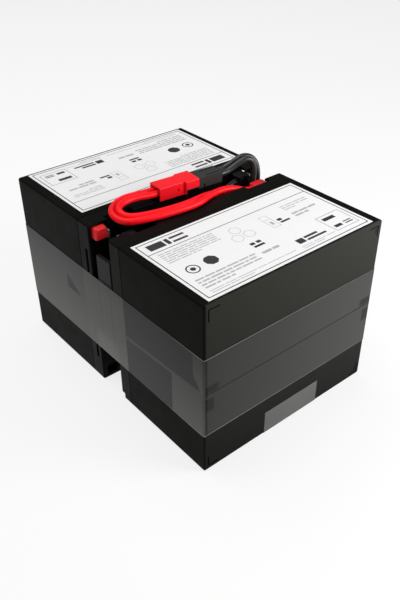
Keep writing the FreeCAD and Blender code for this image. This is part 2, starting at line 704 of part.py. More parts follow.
def make_strap(name):
    """The strap that runs under both stacks and a little way up their outer faces."""
    body = new_body(name)
    profile = new_sketch(body, name + "_profile", "YZ_Plane", "strap_at - case_length / 2")
    out = "(%s + film)" % OUTER
    outline(profile, [("-" + out, "0"), (out, "0"), (out, "film + strap_up"),
                      (OUTER, "film + strap_up"), (OUTER, "film"), ("-" + OUTER, "film"),
                      ("-" + OUTER, "film + strap_up"), ("-" + out, "film + strap_up")])
    pad(body, name + "_strip", profile, "strap_wide")
    crosswise = runs_along(Vector(1, 0, 0))
    film = size("film")
    outer = size(out)

    def inner_corner(edge):
        foot = edge.Vertexes[0]
        return crosswise(edge) and abs(foot.Z - film) < 1e-6 and abs(foot.Y) < outer - 1e-6

    def outer_corner(edge):
        foot = edge.Vertexes[0]
        return crosswise(edge) and abs(foot.Z) < 1e-6 and abs(foot.Y) > outer - 1e-6

    soften(body, "Fillet", name + "_inner_corners", inner_corner, "edge_round")
    soften(body, "Fillet", name + "_corners", outer_corner, "edge_round + film")
    return body


def make_end_plate(name, sign):
    """A flat insulator that stands in the gap against the lids of one stack."""
    end = "case_length / 2 - plate_in"
    start = "-(%s)" % end if sign == "-" else end + " - plate_thick"
    lid = "gap_width / 2 - fit"
    low = "-(%s)" % lid if sign == "-" else lid + " - plate_wide"
    return subpart(block(name, start, low, "film + plate_low",
                         "plate_thick", "plate_wide", "plate_high - plate_low"), name)


make_label("front_label", "-")
make_label("rear_label", "")
make_band("film_band")
make_strap("base_strap")
make_end_plate("near_end_plate", "-")
make_end_plate("far_end_plate", "")


# Mated link connector, x from the cable end of the red housing, z from its underside

def join_up(item):
    """Set a piece of the connector over the gap, laid on the lid edge of the rear stack."""
    item.Placement = FreeCAD.Placement(Vector(), Rotation(Vector(0, 0, 1), size("link_turn")))
    for prop, text in (("x", "link_x"), ("y", "link_y"), ("z", STACK_TOP + " + fit")):
        bind(item, "Placement.Base." + prop, text)
    return item


def make_red_housing(name):
    body = new_body(name)
    plan = new_sketch(body, name + "_plan", "XY_Plane", "0")
    flare = "shroud_at + (shroud_wide - red_wide) / 2"
    outline(plan, [("0", "-red_wide / 2"), ("shroud_at", "-red_wide / 2"),
                   (flare, "-shroud_wide / 2"), ("red_long", "-shroud_wide / 2"),
                   ("red_long", "shroud_wide / 2"), (flare, "shroud_wide / 2"),
                   ("shroud_at", "red_wide / 2"), ("0", "red_wide / 2")])
    pad(body, name + "_block", plan, "red_high")
    ridge = size("red_high")

    def long_top_edge(edge):
        return lies_at(Vector(0, 0, 1), ridge)(edge) and runs_along(Vector(1, 0, 0))(edge)

    soften(body, "Fillet", name + "_ridge", long_top_edge, "hood_wall * 0.6")
    hood = new_sketch(body, name + "_hood_outline", "YZ_Plane", "0")
    rectangle(hood, "hood_wall - red_wide / 2", "red_wide / 2 - hood_wall",
              "-1", "red_high - hood_wall")
    pocket(body, name + "_hood", hood, "hood_deep", flip=True)
    mouth = new_sketch(body, name + "_mouth_outline", "YZ_Plane", "red_long")
    rectangle(mouth, "-mouth_wide / 2", "mouth_wide / 2", "hood_wall", "red_high - hood_wall")
    pocket(body, name + "_mouth", mouth, "mouth_deep")
    bores = new_sketch(body, name + "_bore_outline", "YZ_Plane", "hood_deep")
    circle(bores, "-bore_step / 2", "bore_up", "bore_wide")
    circle(bores, "bore_step / 2", "bore_up", "bore_wide")
    pocket(body, name + "_bores", bores, "red_long - hood_deep - mouth_deep", flip=True)
    under = new_sketch(body, name + "_tongue_outline", "XZ_Plane", "-shroud_wide")
    rectangle(under, "tongue_at", "red_long + 1", "-1", "tongue_low")
    pocket(body, name + "_tongue", under, "2 * shroud_wide", flip=True)
    for side, tag in (("-", "front"), ("", "back")):
        marks = new_sketch(body, "%s_%s_marks" % (name, tag), "XZ_Plane",
                           "%s(shroud_wide / 2 - hood_wall / 2)" % ("" if side == "-" else "-"))
        rectangle(marks, "tongue_at - hood_wall * 1.6", "tongue_at - hood_wall * 0.9",
                  "hood_wall", "red_high - hood_wall * 1.5")
        pocket(body, "%s_%s_slot" % (name, tag), marks, "hood_wall", flip=(side == ""))
    window = new_sketch(body, name + "_window_outline", "XZ_Plane",
                        "red_wide / 2 - hood_wall * 0.7")
    rectangle(window, "shroud_at * 0.74", "shroud_at * 0.74 + hood_wall * 1.3",
              "red_high * 0.4", "red_high * 0.4 + hood_wall * 1.5")
    pocket(body, name + "_window", window, "hood_wall", flip=True)
    dot = new_sketch(body, name + "_dot_outline", "XY_Plane", "red_high")
    circle(dot, "shroud_at * 0.8", "red_wide / 10", "hood_wall")
    pocket(body, name + "_dot", dot, "hood_wall * 0.6")
    return body


def make_grey_housing(name):
    body = new_body(name)
    face = "red_long + fit"
    neck = new_sketch(body, name + "_neck_outline", "YZ_Plane", face)
    rectangle(neck, "-grey_wide / 2", "grey_wide / 2", "grey_low", "grey_low + grey_high")
    pad(body, name + "_neck", neck, "neck_long")
    grip = new_sketch(body, name + "_grip_outline", "YZ_Plane", face + " + neck_long")
    rectangle(grip, "neck_step - grey_wide / 2", "grey_wide / 2 - neck_step",
              "grey_low", "grey_low + grey_high")
    pad(body, name + "_grip", grip, "grey_long - neck_long")
    nose = new_sketch(body, name + "_nose_outline", "YZ_Plane", face)
    rectangle(nose, "fit - mouth_wide / 2", "mouth_wide / 2 - fit",
              "hood_wall + fit", "red_high - hood_wall - fit")
    pad(body, name + "_nose", nose, "mouth_deep - fit", flip=True)
    bores = new_sketch(body, name + "_bore_outline", "YZ_Plane", face + " + grey_long")
    circle(bores, "-bore_step / 2", "bore_up", "bore_wide")
    circle(bores, "bore_step / 2", "bore_up", "bore_wide")
    pocket(body, name + "_bores", bores, "grey_long + mouth_deep")
    ribs = new_sketch(body, name + "_rib_outline", "XY_Plane", "grey_low + grey_high")
    for sign in ("-", ""):
        middle = "%srib_apart / 2" % sign
        rectangle(ribs, face + " + grey_long - rib_long", face + " + grey_long + 1",
                  middle + " - rib_wide / 2", middle + " + rib_wide / 2")
    pocket(body, name + "_ribs", ribs, "rib_deep")
    nick = new_sketch(body, name + "_nick_outline", "XZ_Plane", "-grey_wide")
    rectangle(nick, face + " + neck_long * 0.7", face + " + neck_long * 0.7 + rib_wide",
              "0", "grey_low + grey_high * 0.35")
    pocket(body, name + "_nick", nick, "2 * grey_wide", flip=True)
    return body


def along_x():
    return Rotation(Vector(0, 1, 0), 90)


def make_pins(name):
    """Crimp barrels in the red housing with pins that reach into the grey sockets."""
    start = "red_lead_in + slide"
    end = "red_long - mouth_deep - fit"
    pieces = []
    for sign, tag in (("-", "front"), ("", "back")):
        across = "%sbore_step / 2" % sign
        barrel = rod("%s_%s_barrel" % (name, tag), start, across, "bore_up",
                     "contact_wide", "%s - (%s)" % (end, start), along_x())
        pin = rod("%s_%s_pin" % (name, tag), end, across, "bore_up",
                  "pin_wide", "pin_long", along_x())
        pieces.append(combine("Fuse", "%s_%s" % (name, tag), barrel, pin))
    return subpart(group(name, pieces), name)


def make_sockets(name):
    """Barrels in the grey housing, bored for the pins."""
    start = "red_long - mouth_deep + 2 * fit"
    end = "red_long + fit + grey_long - grey_lead_in - slide"
    pieces = []
    for sign, tag in (("-", "front"), ("", "back")):
        across = "%sbore_step / 2" % sign
        barrel = rod("%s_%s_barrel" % (name, tag), start, across, "bore_up",
                     "contact_wide", "%s - (%s)" % (end, start), along_x())
        bore = rod("%s_%s_bore" % (name, tag), start, across, "bore_up",
                   "pin_wide + 2 * slide", "socket_deep", along_x())
        pieces.append(combine("Cut", "%s_%s" % (name, tag), barrel, bore))
    return subpart(group(name, pieces), name)


join_up(make_red_housing("red_link_housing"))
join_up(make_grey_housing("grey_link_housing"))
join_up(make_pins("red_link_contacts"))
join_up(make_sockets("grey_link_contacts"))
doc.recompute()


# Leads: straight runs joined by tangent arcs

ARC_SHARE = 0.45


def rounded_path(points):
    """A wire through the route, each corner an arc as large as its two runs allow."""
    edges = []
    radii = []
    start = points[0]
    for i in range(1, len(points) - 1):
        before = points[i - 1] - points[i]
        after = points[i + 1] - points[i]
        run = min(before.Length, after.Length) * ARC_SHARE
        turn = math.pi - before.getAngle(after)
        to_before = before.normalize()
        to_after = after.normalize()
        enter = points[i] + to_before * run
        leave = points[i] + to_after * run
        radius = run / math.tan(turn / 2)
        radii.append(radius)
        inward = (to_before + to_after).normalize()
        middle = points[i] + inward * (radius / math.cos(turn / 2) - radius)
        edges.append(Part.LineSegment(start, enter).toShape())
        edges.append(Part.Arc(enter, middle, leave).toShape())
        start = leave
    edges.append(Part.LineSegment(start, points[-1]).toShape())
    return Part.Wire(edges), radii


def make_lead(name, points):
    """A round insulated lead along its route."""
    path, radii = rounded_path(points)
    heading = points[1] - points[0]
    radius = size("lead_wide / 2")
    section = Part.Wire([Part.Circle(points[0], heading, radius).toShape()])
    solid = path.makePipeShell([section], True, False)
    item = doc.addObject("Part::Feature", name)
    item.Shape = solid
    share = solid.Volume / (math.pi * radius * radius * path.Length)
    print("%s length %.1f volume share %.4f radii %s"
          % (name, path.Length, share, " ".join("%.1f" % r for r in radii)))
    return subpart(item, name)


def in_link(x, y):
    """A point of the connector's frame in the frame of the cartridge."""
    base = Vector(size("link_x"), size("link_y"), size(STACK_TOP + " + fit"))
    turn = Rotation(Vector(0, 0, 1), size("link_turn"))
    return base + turn.multVec(Vector(x, y, size("bore_up")))


def at_blade(side, level, sign, away, across, up):
    """A point beside a blade: away from it along the case, across the case, up from the jar."""
    end = -1 if sign == "-" else 1
    reach = size("case_length / 2 - (%s) - (%s)" % (BOOT_FROM, away))
    point = Vector(end * reach, size(BLADE_UP) + across, size(up))
    place = FreeCAD.Placement(
        Vector(0, -FACING[side] * size(OUTER), size("film + case_thick / 2") +
               LEVEL[level] * size("case_thick")), LYING[side])
    return place.multVec(point)


def into_boot(side, level, sign, long, across):
    """The last two points of a lead that runs into a boot along the case."""
    outside = at_blade(side, level, sign, long + " + lead_out", across, LEAD_UP)
    inside = at_blade(side, level, sign, long + " - lead_seat + slide", across, LEAD_UP)
    return [outside, inside]


def down_boot(along):
    """The last two points of a lead that runs down into the boot of the lower rear battery."""
    away = "pair_boot_long / 2 + (%f)" % along
    top = size("pair_boot_tall / 2")
    seat = size("lead_seat - slide")
    outside = at_blade("rear", "lower", "", away, top + size("lead_out"), SIDE_LEAD_UP)
    inside = at_blade("rear", "lower", "", away, top - seat, SIDE_LEAD_UP)
    return [outside, inside]


def route(points):
    """Points given as shares of half the case, half the gap and the height of the stacks."""
    long, wide, high = size("case_length / 2"), size("gap_width / 2"), size(STACK_TOP)
    return [Vector(x * long, y * wide, z * high) for x, y, z in points]


step = size("lead_step / 2")
bore = size("bore_step / 2")
red_in = size("red_lead_in")
grey_in = size("red_long + fit + grey_long - grey_lead_in")
red_out = -size("red_lead_out")
grey_out = size("red_long + fit + grey_long + grey_lead_out")

# The outer red lead of the loop
make_lead("red_lead_outer", [in_link(red_in, bore), in_link(red_out, bore)] + route([
    (-0.444, 1.673, 1.0511), (-0.556, 1.782, 1.0595), (-0.674, 1.709, 1.0549), (-0.776, 1.264, 1.0380),
    (-0.801, 0.545, 1.0242), (-0.759, -0.091, 1.0196), (-0.642, -0.418, 1.0196), (-0.497, -0.700, 1.0196),
    (-0.338, -0.882, 1.0196), (-0.179, -1.036, 1.0196), (-0.046, -1.064, 1.0196), (0.086, -0.827, 1.0165),
    (0.219, -0.627, 1.0019), (0.351, -0.491, 0.9827), (0.470, -0.582, 0.9674), (0.560, -0.800, 0.9589)])
    + into_boot("front", "upper", "-", "pair_boot_long", step))

# The inner red lead of the loop
make_lead("red_lead_inner", [in_link(red_in, -bore), in_link(red_out, -bore)] + route([
    (-0.437, 1.236, 1.0557), (-0.543, 1.345, 1.0656), (-0.645, 1.273, 1.0664), (-0.710, 1.000, 1.0580),
    (-0.736, 0.536, 1.0441), (-0.690, 0.136, 1.0303), (-0.563, -0.127, 1.0219), (-0.417, -0.345, 1.0203),
    (-0.272, -0.509, 1.0203), (-0.126, -0.627, 1.0188), (0.007, -0.527, 1.0119), (0.139, -0.309, 0.9950),
    (0.272, -0.164, 0.9697), (0.397, -0.227, 0.9459), (0.477, -0.491, 0.9290), (0.563, -0.782, 0.9213)])
    + into_boot("front", "upper", "-", "pair_boot_long", -step))

# The two black leads of the arch
make_lead("black_lead_front", [in_link(grey_in, -bore), in_link(grey_out, -bore)] + route([
    (0.587, 0.491, 1.0656), (0.656, 0.364, 1.0979), (0.725, 0.236, 1.1132), (0.783, 0.118, 1.0917),
    (0.796, 0.018, 1.0426), (0.785, -0.009, 0.9750), (0.777, -0.009, 0.8829), (0.770, 0.000, 0.7678),
    (0.751, 0.109, 0.6756), (0.727, 0.382, 0.6111), (0.714, 0.618, 0.5574)])
    + down_boot(step))
make_lead("black_lead_back", [in_link(grey_in, bore), in_link(grey_out, bore)] + route([
    (0.592, 0.918, 1.0656), (0.664, 0.800, 1.0994), (0.738, 0.673, 1.1155), (0.815, 0.491, 1.0994),
    (0.860, 0.273, 1.0518), (0.857, 0.091, 0.9866), (0.844, 0.027, 0.8906), (0.836, 0.018, 0.7754),
    (0.817, 0.127, 0.6833), (0.792, 0.391, 0.6157), (0.777, 0.627, 0.5589)])
    + down_boot(-step))


def make_jumper(name, side):
    """The lead that joins the two batteries of a stack in series, laid along their lids."""
    middle = route([(-0.595, -0.809, 0.9359), (-0.470, -0.709, 0.9152), (-0.280, -0.691, 0.8450),
                    (0.000, -0.691, 0.6902), (0.280, -0.691, 0.5400), (0.464, -0.709, 0.4706),
                    (0.592, -0.809, 0.4468)])
    if side == "rear":
        middle = [Vector(-point.x, -point.y, point.z) for point in middle]
    start = into_boot(side, "upper", "", "boot_long", 0.0)
    end = into_boot(side, "lower", "-", "boot_long", 0.0)
    return make_lead(name, start[::-1] + middle + end)


make_jumper("front_jumper_lead", "front")
make_jumper("rear_jumper_lead", "rear")


# Check every object, then write one file for each sub-part

doc.recompute()
for item in doc.Objects:
    if "Invalid" in item.State or "Error" in item.State:
        raise RuntimeError("%s: %s" % (item.Label, item.State))
os.makedirs("parts", exist_ok=True)
for item in SUBPARTS:
    shape = item.Shape
    if shape.isNull() or not shape.isValid() or not shape.Solids:
        raise RuntimeError("%s has no valid solid" % item.Label)
    shape.exportStep("parts/%s.step" % item.Label)
print("%d sub-parts written" % len(SUBPARTS))
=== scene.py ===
import math
import random
import bpy
from mathutils import Matrix, Vector


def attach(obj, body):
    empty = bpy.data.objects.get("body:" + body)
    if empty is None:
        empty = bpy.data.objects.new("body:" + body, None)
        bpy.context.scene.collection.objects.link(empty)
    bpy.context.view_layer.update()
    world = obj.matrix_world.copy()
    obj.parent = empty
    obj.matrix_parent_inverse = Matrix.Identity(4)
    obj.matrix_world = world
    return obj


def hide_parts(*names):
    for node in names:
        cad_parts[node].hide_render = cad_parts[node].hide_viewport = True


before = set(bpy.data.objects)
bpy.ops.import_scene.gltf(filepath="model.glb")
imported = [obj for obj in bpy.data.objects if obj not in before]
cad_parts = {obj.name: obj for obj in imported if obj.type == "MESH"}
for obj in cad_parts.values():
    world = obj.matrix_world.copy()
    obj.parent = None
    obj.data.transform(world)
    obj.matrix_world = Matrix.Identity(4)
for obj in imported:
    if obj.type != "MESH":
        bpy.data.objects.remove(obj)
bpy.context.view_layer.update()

MM = 0.001
HALF_LONG = 75.5   # from the middle to the ends of the jars, in millimetres
HALF_DEEP = 105.0  # from the middle to the broad bottoms of the jars
scene = bpy.context.scene


# Camera: it looks down on the near front corner of the cartridge

CAMERA_PLACE = Vector((-0.2681, -0.3361, 0.3475))
CAMERA_RIGHT = Vector((0.76979, -0.63827, -0.00563))
CAMERA_AHEAD = Vector((0.51901, 0.63104, -0.57656))
LENS = 41.7
SENSOR = 36.0

camera_data = bpy.data.cameras.new("camera")
camera_data.lens = LENS
camera_data.sensor_width = SENSOR
camera_data.clip_start = 0.01
camera_data.clip_end = 20.0
camera = bpy.data.objects.new("camera", camera_data)
scene.collection.objects.link(camera)
right = CAMERA_RIGHT.normalized()
forward = CAMERA_AHEAD.normalized()
up = right.cross(forward).normalized()
turned = Matrix((right, up, -forward)).transposed().to_4x4()
camera.matrix_world = Matrix.Translation(CAMERA_PLACE) @ turned
scene.camera = camera


# Node helpers

def material(name):
    """A new material with its shader and the object coordinates."""
    made = bpy.data.materials.new(name)
    made.use_nodes = True
    nodes = made.node_tree.nodes
    shader = nodes["Principled BSDF"]
    place = nodes.new("ShaderNodeTexCoord")
    return made, shader, place.outputs["Object"]


def node(made, kind, **values):
    """A new node of a material or world, with its settings."""
    made_node = made.node_tree.nodes.new(kind)
    for key, value in values.items():
        setattr(made_node, key, value)
    return made_node


def link(made, start, end):
    """Lead an output to an input."""
    made.node_tree.links.new(start, end)


def noise(made, place, scale, detail=3.0, rough=0.5, stretch=None):
    """Even or stretched noise on the object coordinates."""
    if stretch:
        mapping = node(made, "ShaderNodeMapping")
        mapping.inputs["Scale"].default_value = stretch
        link(made, place, mapping.inputs["Vector"])
        place = mapping.outputs["Vector"]
    field = node(made, "ShaderNodeTexNoise")
    field.inputs["Scale"].default_value = scale
    field.inputs["Detail"].default_value = detail
    field.inputs["Roughness"].default_value = rough
    link(made, place, field.inputs["Vector"])
    return field.outputs["Fac"]


def ramp(made, value, stops):
    """A colour ramp with the given stops; a plain number stands for a grey."""
    made_ramp = node(made, "ShaderNodeValToRGB")
    elements = made_ramp.color_ramp.elements
    while len(elements) < len(stops):
        elements.new(0.5)
    for element, (at, colour) in zip(elements, stops):
        element.position = at
        if isinstance(colour, (int, float)):
            colour = (colour, colour, colour)
        element.color = (*colour, 1.0)
    link(made, value, made_ramp.inputs["Fac"])
    return made_ramp.outputs["Color"]


def maths(made, operation, first, second=0.0):
    """One arithmetic step on fields or plain numbers."""
    step = node(made, "ShaderNodeMath", operation=operation)
    for socket, value in zip(step.inputs, (first, second)):
        if isinstance(value, (int, float)):
            socket.default_value = value
        else:
            link(made, value, socket)
    return step.outputs["Value"]


def size_of(made, field):
    """A field without its sign."""
    return maths(made, "ABSOLUTE", field)


def bump(made, height, shader, distance, strength=1.0, over=None):
    """Relief from a height field, laid over another relief if there is one."""
    step = node(made, "ShaderNodeBump")
    step.inputs["Strength"].default_value = strength
    step.inputs["Distance"].default_value = distance
    link(made, height, step.inputs["Height"])
    if over is not None:
        link(made, over, step.inputs["Normal"])
    if shader is not None:
        link(made, step.outputs["Normal"], shader.inputs["Normal"])
    return step.outputs["Normal"]


def axes(made, place):
    """The three coordinates as separate fields."""
    split = node(made, "ShaderNodeSeparateXYZ")
    link(made, place, split.inputs["Vector"])
    return split.outputs["X"], split.outputs["Y"], split.outputs["Z"]


def rise(made, value, start, end):
    """A soft step from 0 at start to 1 at end; with end below start it falls."""
    step = node(made, "ShaderNodeMapRange", interpolation_type="SMOOTHSTEP", clamp=True)
    step.inputs["From Min"].default_value = start
    step.inputs["From Max"].default_value = end
    link(made, value, step.inputs["Value"])
    return step.outputs["Result"]


def both(made, *fields):
    """The product of several fields."""
    whole = fields[0]
    for field in fields[1:]:
        whole = maths(made, "MULTIPLY", whole, field)
    return whole


def window(made, value, start, full, fading, gone):
    """1 from full to fading and 0 outside start and gone, with soft flanks."""
    return both(made, rise(made, value, start, full), rise(made, value, gone, fading))


def plus(made, *fields):
    """The sum of several fields."""
    whole = fields[0]
    for field in fields[1:]:
        whole = maths(made, "ADD", whole, field)
    return whole


def slanted(made, field, slope, level):
    """A field times a slope, plus a level."""
    return plus(made, both(made, field, slope), level)


def spread(made, field, low, high, shader, socket):
    """Lead a cloudy field to an input of the shader, between two colours or levels."""
    link(made, ramp(made, field, [(0.3, low), (0.7, high)]), shader.inputs[socket])


def moulded(name, dark, light, rough_low, rough_high, specular=0.5, over=None):
    """Moulded plastic: fine spark-eroded grain, slight cloudiness and rubbed patches."""
    made, shader, place = material(name)
    cloud = noise(made, place, 28.0, 4.0)
    colour = ramp(made, cloud, [(0.3, dark), (0.7, light)])
    if over:
        colour = over(made, place, colour)
    link(made, colour, shader.inputs["Base Color"])
    rubbed = noise(made, place, 75.0, 5.0, 0.6)
    spread(made, rubbed, rough_low, rough_high, shader, "Roughness")
    shader.inputs["Specular IOR Level"].default_value = specular
    soft = bump(made, noise(made, place, 420.0, 2.0), None, 0.00004)
    bump(made, noise(made, place, 2600.0, 2.0), shader, 0.00002, over=soft)
    return made


# The painted sheen lies on the broad bottoms and starts beside the near corner.
BOTTOM_FACE = (0.1030, 0.1049)    # how far out the broad bottoms lie, in metres
NEAR_CORNER = (-0.0745, -0.0732)  # the sheen starts beside the near corner


def painted_sheen_bottoms(made, place, colour):
    """A painted sheen on the broad bottoms of the jars, in place of the lamps' soft reflection;
    it fades downwards and towards the near end.
    """
    x, y, z = axes(made, place)
    bottom = both(made, rise(made, size_of(made, y), *BOTTOM_FACE),
                  rise(made, x, *NEAR_CORNER))
    painted_sheen = both(made, slanted(made, x, 0.095, 0.0275), slanted(made, z, 5.78, 0.364))
    blend = node(made, "ShaderNodeMix", data_type="RGBA")
    link(made, bottom, blend.inputs["Factor"])
    link(made, colour, blend.inputs[6])
    link(made, ramp(made, painted_sheen, [(0.0, 0.0), (1.0, (1.0, 1.0, 0.88))]), blend.inputs[7])
    return blend.outputs[2]


def dress(name, made):
    """Give a carried piece its finish."""
    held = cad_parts[name]
    for place in held.material_slots:
        place.material = made


# Finishes

# The jars carry a painted sheen on their broad bottoms.
jar_black = moulded("jar_black", (0.0040, 0.0040, 0.0034), (0.0058, 0.0058, 0.0050),
                    0.42, 0.52, specular=0.02, over=painted_sheen_bottoms)
lid_black = moulded("lid_black", (0.0036, 0.0036, 0.0032), (0.0054, 0.0054, 0.0048),
                    0.38, 0.48, specular=0.03)
plate_black = moulded("plate_black", (0.009, 0.009, 0.0086), (0.013, 0.013, 0.0124),
                      0.36, 0.46, specular=0.06)
housing_red = moulded("housing_red", (0.88, 0.004, 0.012), (0.98, 0.008, 0.018),
                      0.34, 0.44, specular=0.3)
housing_grey = moulded("housing_grey", (0.022, 0.024, 0.024), (0.032, 0.035, 0.035),
                       0.36, 0.46, specular=0.25)
boot_red = moulded("boot_red", (0.62, 0.006, 0.01), (0.78, 0.01, 0.014),
                   0.38, 0.5, specular=0.4)
boot_black = moulded("boot_black", (0.007, 0.007, 0.007), (0.011, 0.011, 0.011),
                     0.42, 0.54, specular=0.12)
valve_rubber = moulded("valve_rubber", (0.014, 0.014, 0.014), (0.022, 0.022, 0.022),
                       0.6, 0.75, specular=0.3)
pack_lead = moulded("pack_lead", (0.14, 0.145, 0.15), (0.22, 0.225, 0.23), 0.5, 0.7)


def tinned(name, colour, low, high):
    """Rolled and tinned metal with fine lengthwise marks."""
    made, shader, place = material(name)
    shader.inputs["Metallic"].default_value = 1.0
    marks = noise(made, place, 300.0, 4.0, 0.6, stretch=(1.0, 9.0, 9.0))
    darker = tuple(0.82 * part for part in colour)
    spread(made, marks, darker, colour, shader, "Base Color")
    spread(made, marks, low, high, shader, "Roughness")
    bump(made, marks, shader, 0.00002, 0.6)
    return made


blade_tin = tinned("blade_tin", (0.78, 0.77, 0.74), 0.22, 0.4)
receptacle_tin = tinned("receptacle_tin", (0.72, 0.71, 0.68), 0.25, 0.42)
contact_silver = tinned("contact_silver", (0.8, 0.79, 0.76), 0.2, 0.35)


def insulation(name, dark, light, low, high, specular=0.45):
    """Extruded lead insulation: smooth and a little rubbed."""
    made, shader, place = material(name)
    spread(made, noise(made, place, 60.0, 3.0), dark, light, shader, "Base Color")
    spread(made, noise(made, place, 160.0, 4.0), low, high, shader, "Roughness")
    shader.inputs["Specular IOR Level"].default_value = specular
    bump(made, noise(made, place, 900.0, 2.0), shader, 0.000015)
    return made


lead_red = insulation("lead_red", (0.93, 0.002, 0.008), (1.0, 0.003, 0.012),
                      0.38, 0.48, specular=0.2)
lead_black = insulation("lead_black", (0.012, 0.013, 0.013), (0.02, 0.021, 0.021),
                        0.3, 0.42)


# Leads, the same routes as the solids

LEAD_WIDE = 4.6
LEAD_SIDES = 6
LEAD_STEPS = 12
LINK_BASE = Vector((-19.0, 14.0, 130.55))
LINK_TURN = math.radians(-5.0)
LINK_MIDDLE = 4.7        # height of the contacts over the foot of the connector
CONTACT_OFF = 2.75       # from the middle of the connector to each contact
RED_END = (8.9, -6.0)    # along the connector: seat of a red lead, and clear of the housing
GREY_END = (46.1, 57.0)  # the same for a black lead in the grey housing


def in_link(x, y):
    """A point of the connector, counted from the cable end of the red housing."""
    cos, sin = math.cos(LINK_TURN), math.sin(LINK_TURN)
    return (LINK_BASE.x + x * cos - y * sin, LINK_BASE.y + x * sin + y * cos,
            LINK_BASE.z + LINK_MIDDLE)


def link_end(along, off):
    """The two points of a lead at the connector."""
    return [in_link(x, off) for x in along]


def route(points):
    """Points counted from the near front corner of the jars, moved to the middle."""
    return [(x - HALF_LONG, y - HALF_DEEP, z) for x, y, z in points]


def lead(name, points, finish, node_name):
    """A smooth lead along its control points, in place of the carried lead, which is hidden."""
    line = bpy.data.curves.new(name, "CURVE")
    line.dimensions = "3D"
    spline = line.splines.new("NURBS")
    spline.points.add(len(points) - 1)
    for point, (x, y, z) in zip(spline.points, points):
        point.co = (x * MM, y * MM, z * MM, 1.0)
    spline.order_u = 3
    spline.use_endpoint_u = True
    line.bevel_depth = LEAD_WIDE / 2 * MM
    line.bevel_resolution = LEAD_SIDES
    line.resolution_u = LEAD_STEPS
    line.use_fill_caps = True
    line.materials.append(finish)
    lead_piece = bpy.data.objects.new(name, line)
    scene.collection.objects.link(lead_piece)
    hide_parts(node_name)
    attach(lead_piece, "root")
    return lead_piece


red_outer_route = link_end(RED_END, CONTACT_OFF) + route([
    (42.0, 122.8, 136.0), (34.0, 123.6, 136.2), (26.1, 122.4, 135.4), (18.9, 117.2, 134.0),
    (16.6, 108.4, 133.2), (19.2, 100.2, 132.9), (27.8, 96.2, 132.9), (38.4, 93.4, 132.9),
    (50.0, 91.6, 132.9), (62.0, 90.3, 132.9), (72.0, 90.5, 132.9), (82.0, 94.0, 132.8),
    (92.0, 97.2, 131.9), (102.0, 98.0, 131.0), (111.0, 97.4, 128.6), (117.8, 95.6, 125.6),
    (122.85, 94.85, 124.85), (131.35, 94.85, 124.85)])
red_inner_route = link_end(RED_END, -CONTACT_OFF) + route([
    (42.5, 118.0, 136.4), (34.8, 118.6, 136.6), (27.2, 117.2, 136.6), (22.4, 113.6, 135.9),
    (21.0, 108.1, 134.8), (24.0, 103.2, 133.7), (33.4, 99.9, 133.0), (44.0, 97.6, 132.9),
    (55.0, 95.8, 132.9), (66.0, 95.0, 132.9), (76.0, 96.6, 132.4), (86.0, 100.4, 130.2),
    (96.0, 102.4, 128.0), (105.5, 101.8, 125.0), (111.5, 99.4, 122.2), (118.0, 96.4, 120.2),
    (122.85, 94.85, 120.15), (131.35, 94.85, 120.15)])
black_front_route = link_end(GREY_END, -CONTACT_OFF) + route([
    (119.8, 110.4, 137.6), (125.0, 109.0, 140.8), (130.2, 107.6, 142.4), (134.6, 106.3, 140.2),
    (135.6, 105.2, 135.0), (134.8, 104.9, 127.0), (134.2, 104.9, 115.0), (133.6, 105.0, 100.0),
    (132.2, 106.2, 88.0), (130.4, 109.2, 79.6), (129.4, 111.8, 72.6),
    (129.2, 113.0, 65.75), (129.2, 113.0, 57.25)])
black_back_route = link_end(GREY_END, CONTACT_OFF) + route([
    (120.2, 115.1, 137.6), (125.6, 113.8, 140.8), (131.2, 112.4, 142.6), (137.0, 110.4, 141.0),
    (140.4, 108.0, 136.0), (140.2, 106.0, 128.5), (139.2, 105.3, 116.0), (138.6, 105.2, 101.0),
    (137.2, 106.4, 89.0), (135.3, 109.3, 80.2), (134.2, 111.9, 72.8),
    (133.9, 113.0, 65.75), (133.9, 113.0, 57.25)])

lead("red_lead_outer_drawn", red_outer_route[::-1], lead_red,
     "red_lead_outer")
lead("red_lead_inner_drawn", red_inner_route[::-1], lead_red,
     "red_lead_inner")
lead("black_lead_front_drawn", black_front_route[::-1], lead_black,
     "black_lead_front")
lead("black_lead_back_drawn", black_back_route[::-1], lead_black,
     "black_lead_back")


# Dress the carried pieces

for stack in ("front", "rear"):
    for level in ("lower", "upper"):
        stem = stack + "_" + level + "_"
        dress(stem + "jar", jar_black)
        dress(stem + "lid", lid_black)
        dress(stem + "vent_cover", lid_black)
        dress(stem + "valve_caps", valve_rubber)
        dress(stem + "cell_packs", pack_lead)
        dress(stem + "positive_terminal", blade_tin)
        dress(stem + "negative_terminal", blade_tin)
for place in ("front_upper_negative", "front_lower_positive", "rear_upper_negative",
              "rear_lower_positive", "front_upper_positive", "rear_lower_negative"):
    dress(place + "_receptacle", receptacle_tin)
    dress(place + "_boot", boot_black if place.endswith("negative") else boot_red)
for piece, finish in (("rear_upper_positive_cap", boot_red),
                      ("front_lower_negative_cap", boot_black),
                      ("near_end_plate", plate_black), ("far_end_plate", plate_black),
                      ("red_link_housing", housing_red), ("grey_link_housing", housing_grey),
                      ("red_link_contacts", contact_silver),
                      ("grey_link_contacts", contact_silver),
                      ("front_jumper_lead", lead_black), ("rear_jumper_lead", lead_black)):
    dress(piece, finish)


# Label stock and its print

def paper(name):
    """Coated label stock: faint fibre and roller marks."""
    made, shader, place = material(name)
    fibre = noise(made, place, 1400.0, 5.0, 0.7)
    spread(made, fibre, 0.80, 0.86, shader, "Base Color")
    spread(made, fibre, 0.42, 0.55, shader, "Roughness")
    shader.inputs["Specular IOR Level"].default_value = 0.35
    bump(made, noise(made, place, 500.0, 4.0), shader, 0.00001)
    return made


label_stock = paper("label_stock")
dress("front_label", label_stock)
dress("rear_label", label_stock)


